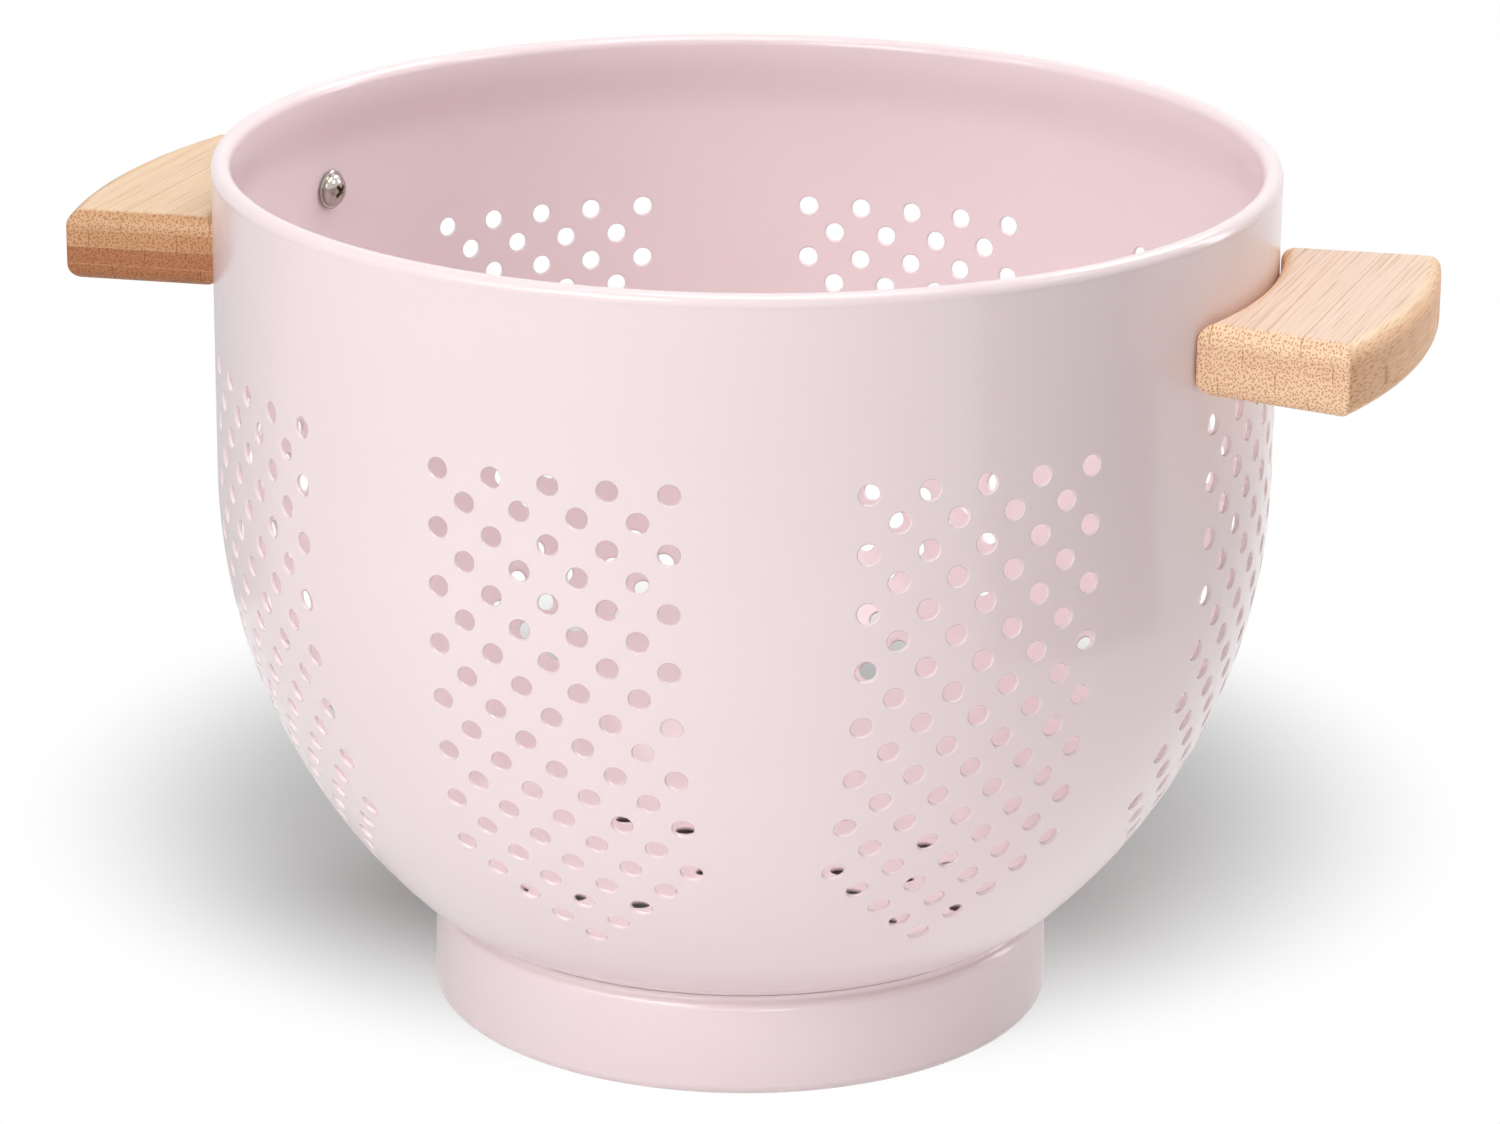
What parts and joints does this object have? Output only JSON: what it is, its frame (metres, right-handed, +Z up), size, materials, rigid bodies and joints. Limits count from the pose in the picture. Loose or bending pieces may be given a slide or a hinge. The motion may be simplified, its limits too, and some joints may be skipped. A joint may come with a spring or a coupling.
{
  "type": "colander",
  "caption": "Deep footed colander with a perforated enamelled steel bowl, a rolled rim, a foot ring and bamboo side handles screwed on from inside, for draining and rinsing food.",
  "frame": {"origin": "on the table, under the middle of the foot ring", "axes": "+X towards one handle, the longest way across; +Z up along the bowl's axis"},
  "size_m": [0.287, 0.2216, 0.1835],
  "materials": {
    "pink_enamel": "semi-gloss pale pink enamel",
    "bamboo": "satin laminated bamboo",
    "steel": "polished",
    "brass": "turned"
  },
  "bodies": {
    "root": {"bowl": "pink_enamel", "foot_ring": "pink_enamel", "handle_right": "bamboo", "handle_left": "bamboo", "handle_screw_right_front": "steel", "handle_screw_right_back": "steel", "handle_screw_left_front": "steel", "handle_screw_left_back": "steel", "threaded_insert_right_front": "brass", "threaded_insert_right_back": "brass", "threaded_insert_left_front": "brass", "threaded_insert_left_back": "brass"}
  },
  "joints": []
}
